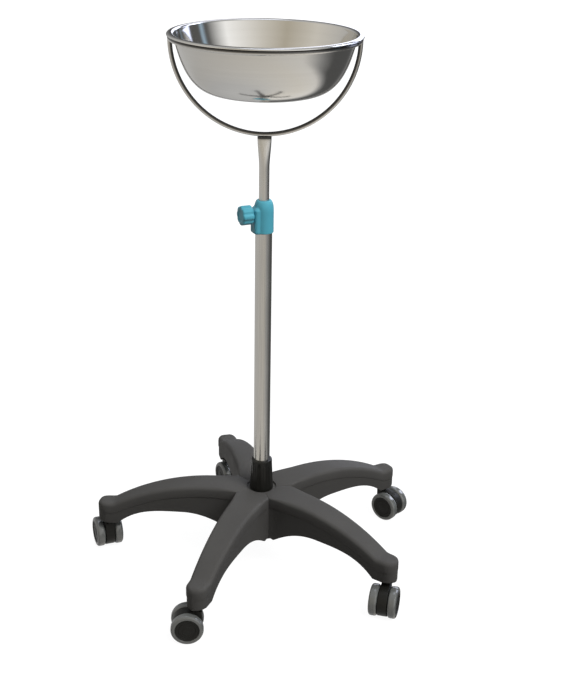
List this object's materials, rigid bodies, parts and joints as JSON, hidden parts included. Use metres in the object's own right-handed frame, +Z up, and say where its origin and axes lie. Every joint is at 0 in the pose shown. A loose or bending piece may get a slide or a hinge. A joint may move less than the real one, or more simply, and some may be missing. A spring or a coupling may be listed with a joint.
{
  "type": "basin stand",
  "caption": "Free-standing basin stand: a steel bowl rests in a rod ring on a clamped telescopic column above a star base of arched legs with castors.",
  "frame": {"origin": "on the floor, under the middle of the column", "axes": "+Z up along the column; +X to the right and +Y away as seen in the picture, across and along the hoop's plane"},
  "size_m": [0.6274, 0.6019, 0.9909],
  "materials": {
    "polished_steel": "polished stainless steel",
    "tube_steel": "bright plated steel tube",
    "rod_steel": "bright plated steel rod",
    "zinc_steel": "zinc plated steel",
    "brass": "turned brass",
    "base_nylon": "fine grained dark grey moulding",
    "gloss_black": "gloss black moulding",
    "hood_nylon": "black moulding",
    "grey_rubber": "smooth grey tread",
    "teal_plastic": "satin teal moulding",
    "white_nylon": "plain nylon"
  },
  "bodies": {
    "base": {"star_base": "base_nylon", "column_sleeve": "gloss_black", "outer_tube": "tube_steel", "foot_plug": "zinc_steel", "base_bolt": "zinc_steel", "base_washer": "zinc_steel", "guide_bush": "white_nylon", "clamp_collar": "teal_plastic", "thread_insert": "brass", "right_back_castor_stem": "zinc_steel", "back_castor_stem": "zinc_steel", "left_castor_stem": "zinc_steel", "front_castor_stem": "zinc_steel", "right_front_castor_stem": "zinc_steel"},
    "mast_slider": {"lower_guide": "white_nylon"},
    "mast": {"inner_tube": "tube_steel", "yoke_hoop": "rod_steel", "support_ring": "rod_steel"},
    "bowl": {"bowl": "polished_steel"},
    "clamp_pad": {"thrust_pad": "white_nylon"},
    "clamp_knob": {"knob": "teal_plastic", "clamp_screw": "zinc_steel"},
    "right_back_castor": {"right_back_castor_hood": "hood_nylon", "right_back_castor_axle": "zinc_steel"},
    "right_back_left_wheel": {"right_back_wheel_left": "hood_nylon", "right_back_tyre_left": "grey_rubber"},
    "right_back_right_wheel": {"right_back_wheel_right": "hood_nylon", "right_back_tyre_right": "grey_rubber"},
    "back_castor": {"back_castor_hood": "hood_nylon", "back_castor_axle": "zinc_steel"},
    "back_left_wheel": {"back_wheel_left": "hood_nylon", "back_tyre_left": "grey_rubber"},
    "back_right_wheel": {"back_wheel_right": "hood_nylon", "back_tyre_right": "grey_rubber"},
    "left_castor": {"left_castor_hood": "hood_nylon", "left_castor_axle": "zinc_steel"},
    "left_left_wheel": {"left_wheel_left": "hood_nylon", "left_tyre_left": "grey_rubber"},
    "left_right_wheel": {"left_wheel_right": "hood_nylon", "left_tyre_right": "grey_rubber"},
    "front_castor": {"front_castor_hood": "hood_nylon", "front_castor_axle": "zinc_steel"},
    "front_left_wheel": {"front_wheel_left": "hood_nylon", "front_tyre_left": "grey_rubber"},
    "front_right_wheel": {"front_wheel_right": "hood_nylon", "front_tyre_right": "grey_rubber"},
    "right_front_castor": {"right_front_castor_hood": "hood_nylon", "right_front_castor_axle": "zinc_steel"},
    "right_front_left_wheel": {"right_front_wheel_left": "hood_nylon", "right_front_tyre_left": "grey_rubber"},
    "right_front_right_wheel": {"right_front_wheel_right": "hood_nylon", "right_front_tyre_right": "grey_rubber"}
  },
  "joints": [
    {"name": "mast_slide", "type": "slide", "parent": "base", "child": "mast_slider", "axis": [0, 0, 1], "range_m": [-0.05, 0.3]},
    {"name": "mast_swivel", "type": "hinge", "parent": "mast_slider", "child": "mast", "pos_m": [0, 0, 0.7073], "axis": [0, 0, 1], "continuous": true},
    {"name": "bowl_lift", "type": "slide", "parent": "mast", "child": "bowl", "axis": [0, 0, 1], "range_m": [0, 0.15]},
    {"name": "screw_advance", "type": "slide", "parent": "base", "child": "clamp_pad", "axis": [-0.9135, -0.4067, 0], "range_m": [0, 0.0025]},
    {"name": "knob_turn", "type": "hinge", "parent": "clamp_pad", "child": "clamp_knob", "pos_m": [-0.01964, -0.00874, 0.6833], "axis": [-0.9135, -0.4067, 0], "range_deg": [0, 720]},
    {"name": "right_back_castor_swivel", "type": "hinge", "parent": "base", "child": "right_back_castor", "pos_m": [0.2473, 0.15694, 0.0649], "axis": [0, 0, 1], "continuous": true},
    {"name": "right_back_left_wheel_roll", "type": "hinge", "parent": "right_back_castor", "child": "right_back_left_wheel", "pos_m": [0.24988, 0.13233, 0.029], "axis": [-0.6428, -0.766, 0], "continuous": true},
    {"name": "right_back_right_wheel_roll", "type": "hinge", "parent": "right_back_castor", "child": "right_back_right_wheel", "pos_m": [0.27199, 0.15868, 0.029], "axis": [-0.6428, -0.766, 0], "continuous": true},
    {"name": "back_castor_swivel", "type": "hinge", "parent": "base", "child": "back_castor", "pos_m": [-0.07284, 0.2837, 0.0649], "axis": [0, 0, 1], "continuous": true},
    {"name": "back_left_wheel_roll", "type": "hinge", "parent": "back_castor", "child": "back_left_wheel", "pos_m": [-0.0805, 0.26016, 0.029], "axis": [-0.8988, -0.4384, 0], "continuous": true},
    {"name": "back_right_wheel_roll", "type": "hinge", "parent": "back_castor", "child": "back_right_wheel", "pos_m": [-0.04958, 0.27524, 0.029], "axis": [-0.8988, -0.4384, 0], "continuous": true},
    {"name": "left_castor_swivel", "type": "hinge", "parent": "base", "child": "left_castor", "pos_m": [-0.29232, 0.01839, 0.0649], "axis": [0, 0, 1], "continuous": true},
    {"name": "left_left_wheel_roll", "type": "hinge", "parent": "left_castor", "child": "left_left_wheel", "pos_m": [-0.28225, 0.041, 0.029], "axis": [0.9397, 0.342, 0], "continuous": true},
    {"name": "left_right_wheel_roll", "type": "hinge", "parent": "left_castor", "child": "left_right_wheel", "pos_m": [-0.31457, 0.02924, 0.029], "axis": [0.9397, 0.342, 0], "continuous": true},
    {"name": "front_castor_swivel", "type": "hinge", "parent": "base", "child": "front_castor", "pos_m": [-0.10782, -0.27233, 0.0649], "axis": [0, 0, 1], "continuous": true},
    {"name": "front_left_wheel_roll", "type": "hinge", "parent": "front_castor", "child": "front_left_wheel", "pos_m": [-0.12621, -0.25576, 0.029], "axis": [-0.0349, 0.9994, 0], "continuous": true},
    {"name": "front_right_wheel_roll", "type": "hinge", "parent": "front_castor", "child": "front_right_wheel", "pos_m": [-0.12501, -0.29014, 0.029], "axis": [-0.0349, 0.9994, 0], "continuous": true},
    {"name": "right_front_castor_swivel", "type": "hinge", "parent": "base", "child": "right_front_castor", "pos_m": [0.22568, -0.1867, 0.0649], "axis": [0, 0, 1], "continuous": true},
    {"name": "right_front_left_wheel_roll", "type": "hinge", "parent": "right_front_castor", "child": "right_front_left_wheel", "pos_m": [0.20424, -0.19907, 0.029], "axis": [-0.9613, 0.2756, 0], "continuous": true},
    {"name": "right_front_right_wheel_roll", "type": "hinge", "parent": "right_front_castor", "child": "right_front_right_wheel", "pos_m": [0.23731, -0.20855, 0.029], "axis": [-0.9613, 0.2756, 0], "continuous": true}
  ],
  "couplings": [
    {"joint": "knob_turn", "follows": "screw_advance", "rad_per_m": 5026.5}
  ]
}
